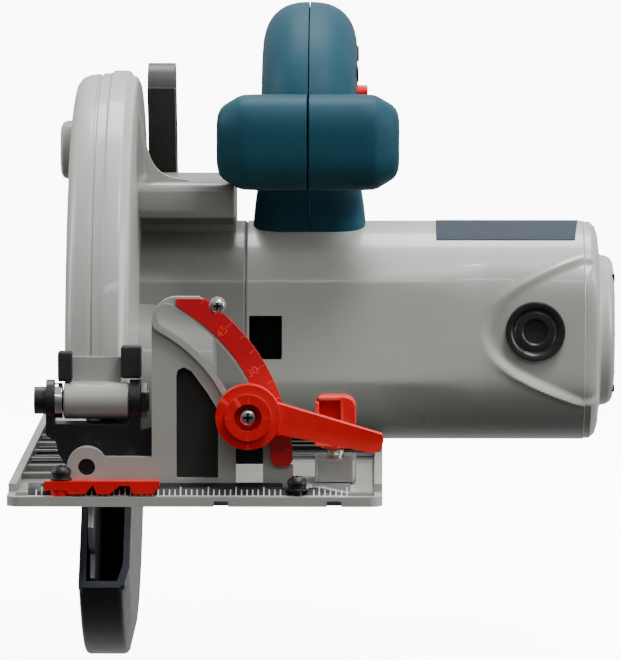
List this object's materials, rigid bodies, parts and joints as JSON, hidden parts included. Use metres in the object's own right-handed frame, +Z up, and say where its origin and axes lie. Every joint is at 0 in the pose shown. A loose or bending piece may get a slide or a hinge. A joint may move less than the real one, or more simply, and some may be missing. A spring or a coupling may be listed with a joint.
{
  "type": "circular saw",
  "caption": "Handheld circular saw with a bevelling base, depth pivot, guarded blade, transverse motor and two grips.",
  "frame": {"origin": "on the sole plane, at the middle of the base plate's width and length", "axes": "+X towards the motor, +Y towards the rear (the front edge with the ruler faces -Y), +Z up"},
  "size_m": [0.2237, 0.2908, 0.246],
  "materials": {
    "cast_paint": "satin light grey paint over casting",
    "motor_shell": "semi-gloss light grey moulding",
    "teal_grip": "fine textured dark teal moulding",
    "red_plastic": "semi-gloss red moulding",
    "black_steel": "black oxide steel",
    "zinc_steel": "zinc plated",
    "chrome_screw": "polished",
    "guard_paint": "satin black powder coat",
    "blade_steel": "ground steel",
    "ruler_print": "black strip with white marks",
    "rubber_black": "matt rubber",
    "label_print": "slate printed plate",
    "copper_wire": "lacquered copper",
    "lamination": "stacked steel sheets",
    "black_plastic": "moulded",
    "carbon": "graphite"
  },
  "bodies": {
    "base": {"base_plate": "cast_paint", "ruler_strip": "ruler_print", "cut_guide": "red_plastic", "base_screws": "black_steel", "front_quadrant": "cast_paint", "bevel_scale": "red_plastic", "scale_screws": "black_steel", "fence_block": "zinc_steel", "fence_screw": "zinc_steel", "fence_spring": "zinc_steel", "rear_bracket": "cast_paint"},
    "fence_wing": {"fence_wing": "red_plastic"},
    "tilt_frame": {"tilt_bracket": "black_steel", "bevel_pins": "zinc_steel", "pivot_bolt": "black_steel", "pivot_washers": "zinc_steel", "pivot_nut": "black_steel", "depth_arm": "cast_paint", "bevel_bolt": "zinc_steel"},
    "bevel_lever": {"bevel_lever": "red_plastic", "lever_screw": "chrome_screw"},
    "saw_body": {"upper_guard": "cast_paint", "bumpers": "rubber_black", "gear_case": "cast_paint", "motor_housing": "motor_shell", "label_plate": "label_print", "end_cap": "motor_shell", "field_stator": "lamination", "field_coils": "copper_wire", "brush_holders": "black_plastic", "brush_caps": "black_plastic", "carbon_brushes": "carbon", "spindle_bearings": "zinc_steel", "motor_bearings": "zinc_steel", "switch_block": "black_plastic", "handle_screws": "black_steel", "cord_gland": "rubber_black", "handle_left": "teal_grip", "handle_right": "teal_grip", "depth_bolt": "zinc_steel"},
    "depth_lever": {"depth_lever": "black_plastic"},
    "spindle": {"blade": "blade_steel", "inner_flange": "zinc_steel", "outer_flange": "zinc_steel", "blade_bolt": "black_steel", "spindle": "zinc_steel", "spindle_gear": "zinc_steel"},
    "armature": {"armature_shaft": "zinc_steel", "pinion": "zinc_steel", "armature_core": "lamination", "commutator": "copper_wire", "armature_windings": "copper_wire", "cooling_fan": "black_plastic"},
    "lower_guard": {"lower_guard": "guard_paint", "guard_spring": "zinc_steel"},
    "trigger": {"trigger": "black_plastic"},
    "lock_off_button": {"lock_off_button": "red_plastic"},
    "spindle_lock_button": {"spindle_lock_button": "black_plastic"}
  },
  "joints": [
    {"name": "bevel_tilt", "type": "hinge", "parent": "base", "child": "tilt_frame", "pos_m": [-0.039, -0.13, 0.0135], "axis": [0, -1, 0], "range_deg": [0, 45]},
    {"name": "bevel_clamp", "type": "hinge", "parent": "tilt_frame", "child": "bevel_lever", "pos_m": [0.01939, -0.14, 0.03247], "axis": [0, -1, 0], "range_deg": [0, 60]},
    {"name": "depth_pivot", "type": "hinge", "parent": "tilt_frame", "child": "saw_body", "pos_m": [-0.036, -0.124, 0.0365], "axis": [1, 0, 0], "range_deg": [0, 28]},
    {"name": "depth_clamp", "type": "hinge", "parent": "saw_body", "child": "depth_lever", "pos_m": [-0.008, 0.07288, 0.04338], "axis": [1, 0, 0], "range_deg": [0, 60]},
    {"name": "fence_turn", "type": "hinge", "parent": "base", "child": "fence_wing", "pos_m": [0.0505, -0.092, 0.025], "axis": [0, 0, 1], "continuous": true},
    {"name": "blade_spin", "type": "hinge", "parent": "saw_body", "child": "spindle", "pos_m": [-0.0396, -0.007, 0.036], "axis": [1, 0, 0], "continuous": true},
    {"name": "armature_spin", "type": "hinge", "parent": "saw_body", "child": "armature", "pos_m": [0.07, 0.0181, 0.0495], "axis": [1, 0, 0], "continuous": true},
    {"name": "guard_swing", "type": "hinge", "parent": "saw_body", "child": "lower_guard", "pos_m": [-0.035, -0.007, 0.036], "axis": [1, 0, 0], "range_deg": [0, 100], "stiffness_Nm_per_rad": 0.25, "springref_deg": -45.84},
    {"name": "trigger_pull", "type": "slide", "parent": "saw_body", "child": "trigger", "axis": [0, 0, 1], "range_m": [0, 0.005], "stiffness_N_per_m": 800, "springref_m": -0.002},
    {"name": "lock_off_press", "type": "slide", "parent": "saw_body", "child": "lock_off_button", "axis": [-1, 0, 0], "range_m": [0, 0.003], "stiffness_N_per_m": 400, "springref_m": -0.001},
    {"name": "spindle_lock_press", "type": "slide", "parent": "saw_body", "child": "spindle_lock_button", "axis": [0, -1, 0], "range_m": [0, 0.003], "stiffness_N_per_m": 400, "springref_m": -0.001}
  ],
  "couplings": [
    {"joint": "armature_spin", "follows": "blade_spin", "ratio": -4.7}
  ]
}
